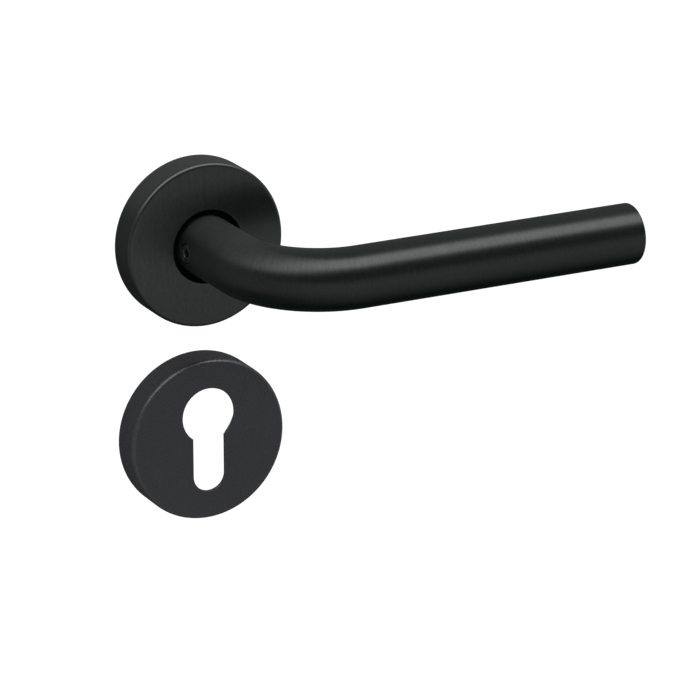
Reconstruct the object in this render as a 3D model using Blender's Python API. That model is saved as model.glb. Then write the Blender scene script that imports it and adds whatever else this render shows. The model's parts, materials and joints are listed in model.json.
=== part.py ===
"""Lever handle on a round rose, with a round escutcheon for a profile cylinder: one side of a door.

Metres, +Z up. The origin is the middle of the spindle's free end, in the door. +Y points into the door,
so every part stands out of the door along -Y, and the lever's grip points along +X.
The door's face is the plane y = -SPINDLE_DOOR_DEPTH. Pieces are modelled from the point where the
spindle's axis meets that plane, and a place's distance from it towards the room is called "out".
"""

import math

import bmesh
import bpy
from mathutils import Matrix, Vector

# Lever: a bent round tube
TUBE_RADIUS = 0.0095
TUBE_WALL = 0.0015
NECK_INNER_END = 0.0090  # out: where the tube starts, inside the rose cover's hole
NECK_STRAIGHT_END = 0.0335  # out: where the bend starts
BEND_RADIUS = 0.0265
GRIP_END = 0.1210  # x of the grip's free end
TUBE_EDGE_ROUNDING = 0.0008
END_CAP_THICKNESS = 0.0030

# Neck insert: journal, collar for the driver ring, and square socket
SPINDLE_SIDE = 0.0080
SPINDLE_OUTER_END = 0.0267
SPINDLE_DOOR_DEPTH = 0.0300
SPINDLE_CHAMFER = 0.0006
SPINDLE_NOTCH_OUT = -0.0048  # a marking notch all round, just behind the neck insert
SPINDLE_NOTCH = 0.0003
SOCKET_SIDE = 0.0086
SOCKET_DEPTH_END = 0.0270
JOURNAL_RADIUS = 0.0075
INSERT_REAR = -0.0034
INSERT_BODY_RADIUS = 0.0077
INSERT_FRONT = 0.0290
COLLAR_REAR = 0.0074
COLLAR_FRONT = 0.0087
COLLAR_SIDE = 0.0154
COLLAR_RADIUS = 0.0093
GROOVE_RADIUS = 0.0069
GROOVE_REAR = -0.00255
GROOVE_FRONT = -0.00125
GRUB_OUT = 0.0155
GRUB_RADIUS = 0.0029
GRUB_HOLE_RADIUS = 0.0032
GRUB_HEX_ACROSS = 0.0030
GRUB_HEX_DEPTH = 0.0025

# Rose and escutcheon covers
COVER_RADIUS = 0.0260
COVER_HEIGHT = 0.0110
COVER_WALL = 0.0010
COVER_EDGE = 0.0015
COVER_DOOR_GAP = 0.0003
NECK_HOLE_RADIUS = 0.0115
CROWN_RADIUS = 0.2300  # the rose cover's face is slightly domed; the escutcheon's is flat
CROWN_STEPS = 4

# Profile-cylinder cut-out: 55 mm below the spindle, and its middle is the escutcheon's middle
CYLINDER_CENTRE_DISTANCE = 0.0550
CUTOUT_PLUG_RADIUS = 0.0088
CUTOUT_SLOT_HALF_WIDTH = 0.0053
CUTOUT_HEIGHT = 0.0336
PLUG_ABOVE_MIDDLE = CUTOUT_HEIGHT / 2 - CUTOUT_PLUG_RADIUS
ESCUTCHEON_Z = -(CYLINDER_CENTRE_DISTANCE + PLUG_ABOVE_MIDDLE)

# Window of the escutcheon's base plate, wider than the cut-out all round
WINDOW_TOP_RADIUS = 0.0143
WINDOW_TOP_CENTRE = 0.0072
WINDOW_HALF_WIDTH = 0.0106
WINDOW_BOTTOM = -0.0210
WINDOW_CORNER = 0.0060

# Base plates, clip rings and fixings
PLATE_RADIUS = 0.0230
PLATE_THICKNESS = 0.0018
PLATE_NECK_HOLE = 0.0099
PLATE_SEAT_RADIUS = 0.0124  # the rose plate touches the door outside this circle, clear of the thrust washer
PLATE_RELIEF = 0.0002  # how far its back is relieved inside that circle
CLIP_RING_OUTER = 0.0242
CLIP_RING_INNER = 0.0228
CLIP_BEAD_RADIUS = 0.0247
CLIP_RING_FRONT = 0.0070
CLIP_SLOT_WIDTH = 0.0060
CLIP_SLOT_FLOOR = 0.0036
FIXING_DISTANCE = 0.0190  # of a screw from the middle of its plate, so the rose's are 38 mm apart
ESCUTCHEON_FIXING_DROP = 0.0060  # below the middle, where the cut-out's view does not reach
PLATE_SCREW_HOLE = 0.0032
LUG_RADIUS = 0.0040
LUG_SPIGOT_RADIUS = 0.0029
LUG_BORE_RADIUS = 0.0023
LUG_LENGTH = 0.0045
SCREW_RADIUS = 0.00195
SCREW_HEAD_RADIUS = 0.00325
SCREW_HEAD_HEIGHT = 0.0022
SCREW_DOOR_DEPTH = 0.0080
SCREW_POINT = 0.0006

# Bearing, spring and driver
BUSH_BORE_RADIUS = 0.0078
BUSH_RADIUS = 0.0096
BUSH_FLANGE_RADIUS = 0.0112
BUSH_FLANGE_FRONT = 0.0030
BUSH_FRONT = 0.0071
SPRING_RADIUS = 0.0126
SPRING_WIRE_RADIUS = 0.0008
SPRING_START_OUT = 0.0029
SPRING_END_OUT = 0.0063
SPRING_TURNS = 2
SPRING_LEG_HEIGHT = 0.0031
SPRING_LEG_BEND = 0.0020
SPRING_LEG_END = 0.0202
DRIVER_RADIUS = 0.0154
DRIVER_REAR = 0.0074
DRIVER_FRONT = 0.0085
DRIVER_HOLE_SIDE = 0.0160
DRIVER_HOLE_RADIUS = 0.0096
DRIVER_TAB_REAR = 0.0025
DRIVER_TAB_INNER = 0.0146
DRIVER_TAB_OUTER = 0.0166
STOP_INNER = 0.0174
STOP_OUTER = 0.0194
STOP_FRONT = 0.0071
TAB_WIDTH = 0.0040
WASHER_RADIUS = 0.0115
WASHER_REAR = -0.0011
RETAINING_INNER = 0.00705
RETAINING_OUTER = 0.0096
RETAINING_EAR = 0.0112
RETAINING_REAR = -0.0024
RETAINING_FRONT = -0.0014
RETAINING_HALF_GAP = math.radians(24)
RETAINING_HALF_EAR = math.radians(46)

GAP = 0.0003  # between pieces that touch on the real object
SEGMENTS_LARGE = 48
SEGMENTS_TUBE = 32
SEGMENTS_SMALL = 16
SEGMENTS_HOLE = 18  # of the plates' screw holes: no corner of a hole falls on an edge of its plate
BEND_STEPS = 10
SMOOTH_BELOW = math.radians(30)

# Material: colour, roughness, metallic
MATERIALS = {
    "black_satin_coating": ((0.030, 0.033, 0.033), 0.42, 0.6),
    "black_powder_coating": ((0.033, 0.034, 0.036), 0.55, 0.3),
    "blackened_steel": ((0.035, 0.035, 0.036), 0.45, 0.9),
    "zinc_plated_steel": ((0.56, 0.57, 0.58), 0.38, 1.0),
    "turned_steel": ((0.50, 0.50, 0.50), 0.30, 1.0),
    "spring_steel": ((0.36, 0.35, 0.34), 0.32, 1.0),
    "black_nylon": ((0.025, 0.025, 0.026), 0.60, 0.0),
    "acetal_plastic": ((0.78, 0.77, 0.73), 0.45, 0.0),
}


def material(name):
    found = bpy.data.materials.get(name)
    if found:
        return found
    colour, roughness, metallic = MATERIALS[name]
    made = bpy.data.materials.new(name)
    made.use_nodes = True
    made.diffuse_color = (*colour, 1)
    shader = made.node_tree.nodes["Principled BSDF"]
    shader.inputs["Base Color"].default_value = (*colour, 1)
    shader.inputs["Roughness"].default_value = roughness
    shader.inputs["Metallic"].default_value = metallic
    return made


def outward(x, out, z):
    """A point given by its distance out of the door's face, relative to that face."""
    return Vector((x, -out, z))


def add_object(name, bm, parent, material_name):
    """A named, shaded object made from a bmesh, which is freed."""
    bm.normal_update()
    bmesh.ops.recalc_face_normals(bm, faces=bm.faces)
    mesh = bpy.data.meshes.new(name)
    bm.to_mesh(mesh)
    bm.free()
    mesh.materials.append(material(material_name))
    mesh.shade_smooth()
    mesh.set_sharp_from_angle(angle=SMOOTH_BELOW)
    made = bpy.data.objects.new(name, mesh)
    bpy.context.collection.objects.link(made)
    made.parent = parent
    return made


def add_tool(name, bm, parent):
    """A hidden solid that a Boolean modifier uses."""
    tool = add_object(name, bm, parent, "turned_steel")
    tool.hide_render = True
    tool.display_type = "WIRE"
    return tool


def boolean(piece, tool, operation):
    modifier = piece.modifiers.new(tool.name, "BOOLEAN")
    modifier.operation = operation
    modifier.solver = "EXACT"
    modifier.object = tool


def cut(piece, tool):
    boolean(piece, tool, "DIFFERENCE")


def join(piece, tool):
    boolean(piece, tool, "UNION")


def add_joint_empty(name, parent, location):
    empty = bpy.data.objects.new(name, None)
    empty.empty_display_size = 0.01
    empty.location = location
    empty.parent = parent
    bpy.context.collection.objects.link(empty)
    return empty


def turned(profile, segments, centre=(0.0, 0.0)):
    """Spin a closed outline of (radius, out) points about an axis along Y through centre (x, z)."""
    bm = bmesh.new()
    verts = [bm.verts.new((radius, -out, 0.0)) for radius, out in profile]
    pairs = zip(verts, verts[1:] + verts[:1])
    edges = [bm.edges.new(pair) for pair in pairs if pair[0].co.x > 0.0 or pair[1].co.x > 0.0]
    bmesh.ops.spin(
        bm,
        geom=verts + edges,
        cent=(0.0, 0.0, 0.0),
        axis=(0.0, 1.0, 0.0),
        angle=math.tau,
        steps=segments,
        use_merge=True,
    )
    bmesh.ops.remove_doubles(bm, verts=bm.verts, dist=1e-7)
    bmesh.ops.translate(bm, verts=bm.verts, vec=(centre[0], 0.0, centre[1]))
    return bm


def extruded(outline, rear, front):
    """Extrude a closed outline of (x, z) points along Y, from out = rear to out = front."""
    bm = bmesh.new()
    face = bm.faces.new([bm.verts.new(outward(x, rear, z)) for x, z in outline])
    grown = bmesh.ops.extrude_face_region(bm, geom=[face])
    moved = [item for item in grown["geom"] if isinstance(item, bmesh.types.BMVert)]
    bmesh.ops.translate(bm, verts=moved, vec=(0.0, rear - front, 0.0))
    return bm


def arc(centre_x, centre_y, radius, start, end, steps):
    """Points on an arc, both ends included; angles in radians."""
    points = []
    for step in range(steps + 1):
        angle = start + (end - start) * step / steps
        points.append((centre_x + radius * math.cos(angle), centre_y + radius * math.sin(angle)))
    return points


def rectangle(left, right, low, high):
    return [(left, low), (right, low), (right, high), (left, high)]


def clipped_square(side, radius, steps=3):
    """A square whose corners are cut back to a circle."""
    half = side / 2
    reach = math.acos(half / radius)
    outline = []
    for quarter in range(4):
        turn = quarter * math.pi / 2
        outline += arc(0.0, 0.0, radius, turn + reach, turn + math.pi / 2 - reach, steps)
    return outline


def cylinder_cutout():
    """The outline of a profile cylinder: a round head above a slot with a round end."""
    half = CUTOUT_SLOT_HALF_WIDTH
    meeting = math.asin(half / CUTOUT_PLUG_RADIUS)
    start, end = meeting - math.pi / 2, 1.5 * math.pi - meeting
    head = arc(0.0, PLUG_ABOVE_MIDDLE, CUTOUT_PLUG_RADIUS, start, end, 22)
    foot = arc(0.0, half - CUTOUT_HEIGHT / 2, half, math.pi, math.tau, 8)
    return head + foot


def plate_window():
    """The base plate's opening behind the cut-out: a round head above a rounded rectangle."""
    meeting = math.asin(WINDOW_HALF_WIDTH / WINDOW_TOP_RADIUS)
    start, end = meeting - math.pi / 2, 1.5 * math.pi - meeting
    head = arc(0.0, WINDOW_TOP_CENTRE, WINDOW_TOP_RADIUS, start, end, 20)
    corner_x = WINDOW_HALF_WIDTH - WINDOW_CORNER
    corner_z = WINDOW_BOTTOM + WINDOW_CORNER
    left = arc(-corner_x, corner_z, WINDOW_CORNER, math.pi, 1.5 * math.pi, 5)
    right = arc(corner_x, corner_z, WINDOW_CORNER, 1.5 * math.pi, math.tau, 5)
    return head + left + right


def lever_path(distance):
    """Centre, outer-side direction and upward direction of the tube's axis, at a distance along it."""
    straight = NECK_STRAIGHT_END - NECK_INNER_END
    bend = BEND_RADIUS * math.pi / 2
    up = Vector((0.0, 0.0, 1.0))
    if distance <= straight:
        return outward(0.0, NECK_INNER_END + distance, 0.0), Vector((-1.0, 0.0, 0.0)), up
    angle = min((distance - straight) / BEND_RADIUS, math.pi / 2)
    side = Vector((-math.cos(angle), -math.sin(angle), 0.0))
    centre = outward(BEND_RADIUS, NECK_STRAIGHT_END, 0.0) + side * BEND_RADIUS
    centre.x += max(distance - straight - bend, 0.0)
    return centre, side, up


def build_lever_tube(parent):
    straight = NECK_STRAIGHT_END - NECK_INNER_END
    bend = BEND_RADIUS * math.pi / 2
    length = straight + bend + GRIP_END - BEND_RADIUS
    rounding = TUBE_EDGE_ROUNDING
    bore = TUBE_RADIUS - TUBE_WALL
    stations = [straight + bend * step / BEND_STEPS for step in range(BEND_STEPS + 1)]
    rounded = arc(length - rounding, TUBE_RADIUS - rounding, rounding, math.pi / 2, 0.0, 3)
    outer = [(0.0, TUBE_RADIUS - GAP), (GAP, TUBE_RADIUS)] + [(place, TUBE_RADIUS) for place in stations]
    inner = [(length, bore)] + [(place, bore) for place in reversed(stations)] + [(0.0, bore)]

    bm = bmesh.new()
    rings = []
    for distance, radius in outer + rounded + inner:
        centre, side, up = lever_path(distance)
        ring = []
        for step in range(SEGMENTS_TUBE):
            angle = math.tau * step / SEGMENTS_TUBE
            direction = side * math.cos(angle) + up * math.sin(angle)
            ring.append(bm.verts.new(centre + direction * radius))
        rings.append(ring)
    for ring, following in zip(rings, rings[1:] + rings[:1]):
        for step in range(SEGMENTS_TUBE):
            after = (step + 1) % SEGMENTS_TUBE
            bm.faces.new((ring[step], ring[after], following[after], following[step]))
    tube = add_object("lever_tube", bm, parent, "black_satin_coating")
    cut(tube, grub_hole_tool("tube_grub_hole", parent, TUBE_RADIUS - TUBE_WALL - 0.002))


def lie_along_x(bm, sense, x, out):
    """Turn a piece from pointing out of the door to pointing along +X or -X, and move it to (x, out)."""
    turn = Matrix.Rotation(sense * math.pi / 2, 3, "Z")
    bmesh.ops.rotate(bm, verts=bm.verts, cent=(0.0, 0.0, 0.0), matrix=turn)
    bmesh.ops.translate(bm, verts=bm.verts, vec=outward(x, out, 0.0))


def grub_hole_tool(name, parent, reach):
    """A round cutter from outside the neck's left side in to x = -reach."""
    profile = [(0.0, reach), (GRUB_HOLE_RADIUS, reach), (GRUB_HOLE_RADIUS, 0.012), (0.0, 0.012)]
    bm = turned(profile, SEGMENTS_SMALL)
    lie_along_x(bm, -1, 0.0, GRUB_OUT)
    return add_tool(name, bm, parent)


def build_end_cap(parent):
    """A disc pressed into the grip's free end."""
    radius = TUBE_RADIUS - TUBE_WALL - GAP
    bm = turned(
        [
            (0.0, 0.0),
            (radius, 0.0),
            (radius, END_CAP_THICKNESS - GAP),
            (radius - GAP, END_CAP_THICKNESS),
            (0.0, END_CAP_THICKNESS),
        ],
        SEGMENTS_TUBE,
    )
    lie_along_x(bm, 1, GRIP_END - END_CAP_THICKNESS, NECK_STRAIGHT_END + BEND_RADIUS)
    add_object("lever_end_cap", bm, parent, "black_satin_coating")


def build_neck_insert(parent):
    """Fixed in the neck: body in the tube, square collar for the driver ring, journal and ring groove."""
    chamfer = 0.0005
    profile = [
        (0.0, INSERT_REAR),
        (JOURNAL_RADIUS - chamfer, INSERT_REAR),
        (JOURNAL_RADIUS, INSERT_REAR + chamfer),
        (JOURNAL_RADIUS, GROOVE_REAR),
        (GROOVE_RADIUS, GROOVE_REAR),
        (GROOVE_RADIUS, GROOVE_FRONT),
        (JOURNAL_RADIUS, GROOVE_FRONT),
        (JOURNAL_RADIUS, COLLAR_REAR + chamfer),
        (INSERT_BODY_RADIUS, COLLAR_REAR + chamfer),
        (INSERT_BODY_RADIUS, INSERT_FRONT - chamfer),
        (INSERT_BODY_RADIUS - chamfer, INSERT_FRONT),
        (0.0, INSERT_FRONT),
    ]
    insert = add_object("neck_insert", turned(profile, SEGMENTS_TUBE), parent, "turned_steel")
    collar = extruded(clipped_square(COLLAR_SIDE, COLLAR_RADIUS), COLLAR_REAR, COLLAR_FRONT)
    join(insert, add_tool("insert_collar", collar, parent))
    half = SOCKET_SIDE / 2
    socket = extruded(rectangle(-half, half, -half, half), INSERT_REAR - 0.002, SOCKET_DEPTH_END)
    cut(insert, add_tool("insert_socket", socket, parent))
    cut(insert, grub_hole_tool("insert_grub_hole", parent, half - 0.001))


def build_grub_screw(parent):
    """Headless screw with a hexagon socket, on the neck's left side; it presses on the spindle."""
    inner = SPINDLE_SIDE / 2 + GAP
    outer = TUBE_RADIUS - GAP
    bevel = 0.0004
    profile = [
        (0.0, inner),
        (GRUB_RADIUS - 2 * bevel, inner),
        (GRUB_RADIUS, inner + 2 * bevel),
        (GRUB_RADIUS, outer - bevel),
        (GRUB_RADIUS - bevel, outer),
        (0.0, outer),
    ]
    bm = turned(profile, SEGMENTS_SMALL)
    lie_along_x(bm, -1, 0.0, GRUB_OUT)
    screw = add_object("grub_screw", bm, parent, "blackened_steel")
    corner = GRUB_HEX_ACROSS / math.sqrt(3)
    hexagon = arc(0.0, 0.0, corner, 0.0, math.tau * 5 / 6, 5)
    socket = extruded(hexagon, outer - GRUB_HEX_DEPTH, outer + 0.002)
    lie_along_x(socket, -1, 0.0, GRUB_OUT)
    cut(screw, add_tool("grub_hexagon", socket, parent))


def build_spindle(parent):
    """A square bar with chamfered ends and a notch all round it."""
    half = SPINDLE_SIDE / 2
    sections = [
        (-SPINDLE_DOOR_DEPTH, half - SPINDLE_CHAMFER),
        (SPINDLE_CHAMFER - SPINDLE_DOOR_DEPTH, half),
        (SPINDLE_NOTCH_OUT - SPINDLE_NOTCH, half),
        (SPINDLE_NOTCH_OUT, half - SPINDLE_NOTCH),
        (SPINDLE_NOTCH_OUT + SPINDLE_NOTCH, half),
        (SPINDLE_OUTER_END - SPINDLE_CHAMFER, half),
        (SPINDLE_OUTER_END, half - SPINDLE_CHAMFER),
    ]
    bm = bmesh.new()
    rings = []
    for out, reach in sections:
        corners = rectangle(-reach, reach, -reach, reach)
        rings.append([bm.verts.new(outward(x, out, z)) for x, z in corners])
    for ring, following in zip(rings, rings[1:]):
        for step in range(4):
            after = (step + 1) % 4
            bm.faces.new((ring[step], ring[after], following[after], following[step]))
    bm.faces.new(rings[0])
    bm.faces.new(rings[-1])
    add_object("spindle", bm, parent, "zinc_plated_steel")


def build_driver_ring(parent):
    """Turns with the collar; its tab stands between the spring's legs."""
    bm = extruded(arc(0.0, 0.0, DRIVER_RADIUS, 0.0, math.tau * 47 / 48, 47), DRIVER_REAR, DRIVER_FRONT)
    ring = add_object("driver_ring", bm, parent, "blackened_steel")
    hole_outline = clipped_square(DRIVER_HOLE_SIDE, DRIVER_HOLE_RADIUS)
    hole = extruded(hole_outline, DRIVER_REAR - 0.001, DRIVER_FRONT + 0.001)
    cut(ring, add_tool("driver_hole", hole, parent))
    half = TAB_WIDTH / 2
    arm_outline = rectangle(DRIVER_RADIUS - 0.002, DRIVER_TAB_OUTER, -half, half)
    arm = extruded(arm_outline, DRIVER_REAR, DRIVER_FRONT - 0.0001)
    join(ring, add_tool("driver_arm", arm, parent))
    tab = extruded(
        rectangle(DRIVER_TAB_INNER, DRIVER_TAB_OUTER - 0.0001, 0.0001 - half, half - 0.0001),
        DRIVER_TAB_REAR,
        DRIVER_REAR + 0.0006,
    )
    join(ring, add_tool("driver_tab", tab, parent))


def build_bearing_bush(parent):
    profile = [
        (BUSH_BORE_RADIUS, 0.0),
        (BUSH_RADIUS, 0.0),
        (BUSH_RADIUS, PLATE_THICKNESS + GAP),
        (BUSH_FLANGE_RADIUS, PLATE_THICKNESS + GAP),
        (BUSH_FLANGE_RADIUS, BUSH_FLANGE_FRONT),
        (BUSH_RADIUS, BUSH_FLANGE_FRONT),
        (BUSH_RADIUS, BUSH_FRONT),
        (BUSH_BORE_RADIUS, BUSH_FRONT),
    ]
    add_object("bearing_bush", turned(profile, SEGMENTS_TUBE), parent, "acetal_plastic")


def build_thrust_washer(parent):
    profile = rectangle(BUSH_BORE_RADIUS, WASHER_RADIUS, WASHER_REAR, -GAP)
    add_object("thrust_washer", turned(profile, SEGMENTS_TUBE), parent, "turned_steel")


def build_retaining_ring(parent):
    """An open ring in the journal's groove, with two ears on either side of its gap, at the bottom."""
    bottom = 1.5 * math.pi
    gap, ear = RETAINING_HALF_GAP, RETAINING_HALF_EAR
    right_ear = arc(0.0, 0.0, RETAINING_EAR, bottom + gap, bottom + ear, 4)
    body = arc(0.0, 0.0, RETAINING_OUTER, bottom + ear + 0.1, bottom + math.tau - ear - 0.1, 26)
    left_ear = arc(0.0, 0.0, RETAINING_EAR, bottom + math.tau - ear, bottom + math.tau - gap, 4)
    inside = arc(0.0, 0.0, RETAINING_INNER, bottom + math.tau - gap, bottom + gap, 34)
    bm = extruded(right_ear + body + left_ear + inside, RETAINING_REAR, RETAINING_FRONT)
    ring = add_object("retaining_ring", bm, parent, "blackened_steel")
    ear_middle = (RETAINING_INNER + RETAINING_EAR) / 2
    for number, side in enumerate((-1, 1)):
        angle = bottom + side * (gap + ear) / 2
        centre = (ear_middle * math.cos(angle), ear_middle * math.sin(angle))
        hole = [(0.0, RETAINING_REAR - 0.001), (0.0008, RETAINING_REAR - 0.001), (0.0008, 0.0), (0.0, 0.0)]
        cut(ring, add_tool(f"retaining_hole_{number}", turned(hole, 12, centre), parent))


def spring_points():
    """The wire's path: a radial leg, the coil around the bush, and a second leg below the first."""
    reach = SPRING_RADIUS + SPRING_LEG_BEND
    bend_z = SPRING_LEG_HEIGHT + SPRING_LEG_BEND
    bend_x = math.sqrt(reach**2 - bend_z**2)
    leaving = math.atan2(bend_z, bend_x)
    bend = arc(bend_x, bend_z, SPRING_LEG_BEND, 1.5 * math.pi, math.pi + leaving, 5)
    first = [(SPRING_LEG_END, SPRING_LEG_HEIGHT)] + bend
    turned_by = SPRING_TURNS * math.tau - 2 * leaving
    steps = SPRING_TURNS * 20
    points = [outward(x, SPRING_START_OUT, z) for x, z in first]
    for step in range(1, steps):
        share = step / steps
        angle = leaving + turned_by * share
        out = SPRING_START_OUT + (SPRING_END_OUT - SPRING_START_OUT) * share
        points.append(outward(SPRING_RADIUS * math.cos(angle), out, SPRING_RADIUS * math.sin(angle)))
    points += [outward(x, SPRING_END_OUT, -z) for x, z in reversed(first)]
    return points


def build_return_spring(parent):
    points = spring_points()
    curve = bpy.data.curves.new("return_spring", "CURVE")
    curve.dimensions = "3D"
    curve.bevel_depth = SPRING_WIRE_RADIUS
    curve.bevel_resolution = 1
    curve.use_fill_caps = True
    wire = curve.splines.new("POLY")
    wire.points.add(len(points) - 1)
    for point, place in zip(wire.points, points):
        point.co = (*place, 1.0)
    curve.materials.append(material("spring_steel"))
    spring = bpy.data.objects.new("return_spring", curve)
    bpy.context.collection.objects.link(spring)
    spring.parent = parent


def cover_profile(face):
    """Half section of a clip-on cover. face is the part of it that is not the edge or the skirt."""
    edge = arc(COVER_RADIUS - COVER_EDGE, COVER_HEIGHT - COVER_EDGE, COVER_EDGE, 0.0, math.pi / 2, 4)
    inside = COVER_HEIGHT - COVER_WALL
    skirt = COVER_RADIUS - COVER_WALL
    return (
        [(COVER_RADIUS, COVER_DOOR_GAP)]
        + edge
        + face
        + [(skirt - GAP, inside), (skirt, inside - GAP), (skirt, COVER_DOOR_GAP)]
    )


def crowned(radius, height):
    """A point of the rose cover's domed face, whose rim is height high."""
    rim = COVER_RADIUS - COVER_EDGE
    return (radius, height + (rim * rim - radius * radius) / (2 * CROWN_RADIUS))


def build_rose_cover(parent):
    rim = COVER_RADIUS - COVER_EDGE
    hole = NECK_HOLE_RADIUS + GAP
    radii = [rim + (hole - rim) * step / CROWN_STEPS for step in range(1, CROWN_STEPS + 1)]
    outside = [crowned(radius, COVER_HEIGHT) for radius in radii]
    hole_edge = crowned(NECK_HOLE_RADIUS, COVER_HEIGHT - GAP)
    inner_radii = [NECK_HOLE_RADIUS, *reversed(radii[:-1])]
    inside = [crowned(radius, COVER_HEIGHT - COVER_WALL) for radius in inner_radii]
    profile = cover_profile(outside + [hole_edge] + inside)
    add_object("rose_cover", turned(profile, SEGMENTS_LARGE), parent, "black_satin_coating")


def build_escutcheon_cover(parent):
    profile = cover_profile([(0.0, COVER_HEIGHT), (0.0, COVER_HEIGHT - COVER_WALL)])
    cover = add_object("escutcheon_cover", turned(profile, SEGMENTS_LARGE), parent, "black_powder_coating")
    opening = extruded(cylinder_cutout(), COVER_HEIGHT - 0.003, COVER_HEIGHT + 0.001)
    cut(cover, add_tool("cover_cutout", opening, parent))


def fixing_places(upright):
    """Where a plate's two screws are, as (x, z) from its middle."""
    if upright:
        return {"upper": (0.0, FIXING_DISTANCE), "lower": (0.0, -FIXING_DISTANCE)}
    reach = math.sqrt(FIXING_DISTANCE**2 - ESCUTCHEON_FIXING_DROP**2)
    return {"left": (-reach, -ESCUTCHEON_FIXING_DROP), "right": (reach, -ESCUTCHEON_FIXING_DROP)}


def build_base_plate(prefix, parent, places, inner_radius):
    """A steel plate on the door's face, with two holes for the lugs.

    inner_radius is that of its middle hole, or 0 for none.
    """
    relieved = [(inner_radius, PLATE_RELIEF), (PLATE_SEAT_RADIUS, PLATE_RELIEF), (PLATE_SEAT_RADIUS, 0.0)]
    rear = relieved if inner_radius else [(0.0, 0.0)]
    profile = rear + [
        (PLATE_RADIUS, 0.0),
        (PLATE_RADIUS, PLATE_THICKNESS - GAP),
        (PLATE_RADIUS - GAP, PLATE_THICKNESS),
        (inner_radius, PLATE_THICKNESS),
    ]
    plate = add_object(f"{prefix}_base_plate", turned(profile, SEGMENTS_LARGE), parent, "zinc_plated_steel")
    for place, centre in places.items():
        hole = rectangle(0.0, PLATE_SCREW_HOLE, -0.001, PLATE_THICKNESS + 0.001)
        cut(plate, add_tool(f"{prefix}_plate_hole_{place}", turned(hole, SEGMENTS_HOLE, centre), parent))
    return plate


def build_clip_ring(prefix, parent):
    """A plastic ring snapped over the plate's rim; the cover clicks over its bead."""
    profile = [
        (PLATE_RADIUS + GAP, GAP),
        (CLIP_RING_OUTER, GAP),
        (CLIP_RING_OUTER, 0.0034),
        (CLIP_BEAD_RADIUS, 0.0040),
        (CLIP_BEAD_RADIUS, 0.0046),
        (CLIP_RING_OUTER, 0.0052),
        (CLIP_RING_OUTER, CLIP_RING_FRONT),
        (CLIP_RING_INNER, CLIP_RING_FRONT),
        (CLIP_RING_INNER, PLATE_THICKNESS + GAP),
        (PLATE_RADIUS + GAP, PLATE_THICKNESS + GAP),
    ]
    ring = add_object(f"{prefix}_clip_ring", turned(profile, SEGMENTS_LARGE), parent, "black_nylon")
    half = CLIP_SLOT_WIDTH / 2
    for number in range(4):
        angle = math.pi / 4 + number * math.pi / 2
        along = Vector((math.cos(angle), math.sin(angle)))
        across = Vector((-along.y, along.x)) * half
        near = along * (CLIP_RING_INNER - 0.002)
        far = along * (CLIP_BEAD_RADIUS + 0.001)
        outline = [tuple(near - across), tuple(far - across), tuple(far + across), tuple(near + across)]
        slot = extruded(outline, CLIP_SLOT_FLOOR, CLIP_RING_FRONT + 0.001)
        cut(ring, add_tool(f"{prefix}_clip_slot_{number}", slot, parent))


def build_lug(name, parent, centre):
    """A bush riveted in the plate; it sits in the door and carries the screw."""
    profile = [
        (LUG_BORE_RADIUS, -LUG_LENGTH),
        (LUG_RADIUS - GAP, -LUG_LENGTH),
        (LUG_RADIUS, GAP - LUG_LENGTH),
        (LUG_RADIUS, -GAP),
        (LUG_SPIGOT_RADIUS, -GAP),
        (LUG_SPIGOT_RADIUS, PLATE_THICKNESS),
        (LUG_BORE_RADIUS, PLATE_THICKNESS),
    ]
    add_object(name, turned(profile, SEGMENTS_SMALL, centre), parent, "turned_steel")


def build_screw(name, parent, centre):
    """A pan-head screw with a cross recess."""
    rear = PLATE_THICKNESS + GAP
    front = rear + SCREW_HEAD_HEIGHT
    crown = 0.0009
    profile = [
        (0.0, -SCREW_DOOR_DEPTH),
        (SCREW_RADIUS - SCREW_POINT, -SCREW_DOOR_DEPTH),
        (SCREW_RADIUS, SCREW_POINT - SCREW_DOOR_DEPTH),
        (SCREW_RADIUS, rear),
        (SCREW_HEAD_RADIUS, rear),
        (SCREW_HEAD_RADIUS, front - crown),
        (SCREW_HEAD_RADIUS - 0.3 * crown, front - 0.3 * crown),
        (SCREW_HEAD_RADIUS - crown, front),
        (0.0, front),
    ]
    screw = add_object(name, turned(profile, SEGMENTS_SMALL, centre), parent, "zinc_plated_steel")
    x, z = centre
    long_side, short_side = 0.0017, 0.0004
    cross = [(long_side, short_side), (short_side, long_side)]
    for number, (width, height) in enumerate(cross):
        outline = rectangle(x - width, x + width, z - height, z + height)
        recess = extruded(outline, front - 0.0013, front + 0.001 + 0.0005 * number)
        cut(screw, add_tool(f"{name}_recess_{number}", recess, parent))


def build_rose_base(parent):
    places = fixing_places(upright=True)
    plate = build_base_plate("rose", parent, places, PLATE_NECK_HOLE)
    half = TAB_WIDTH / 2
    stop = extruded(rectangle(STOP_INNER, STOP_OUTER, -half, half), PLATE_THICKNESS / 2, STOP_FRONT)
    join(plate, add_tool("rose_spring_stop", stop, parent))
    build_clip_ring("rose", parent)
    for place, centre in places.items():
        build_lug(f"rose_lug_{place}", parent, centre)
        build_screw(f"rose_screw_{place}", parent, centre)


def build_escutcheon_base(parent):
    places = fixing_places(upright=False)
    plate = build_base_plate("escutcheon", parent, places, 0.0)
    window = extruded(plate_window(), -0.001, PLATE_THICKNESS + 0.001)
    cut(plate, add_tool("escutcheon_plate_window", window, parent))
    build_clip_ring("escutcheon", parent)
    for place, centre in places.items():
        build_lug(f"escutcheon_lug_{place}", parent, centre)
        build_screw(f"escutcheon_screw_{place}", parent, centre)


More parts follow.
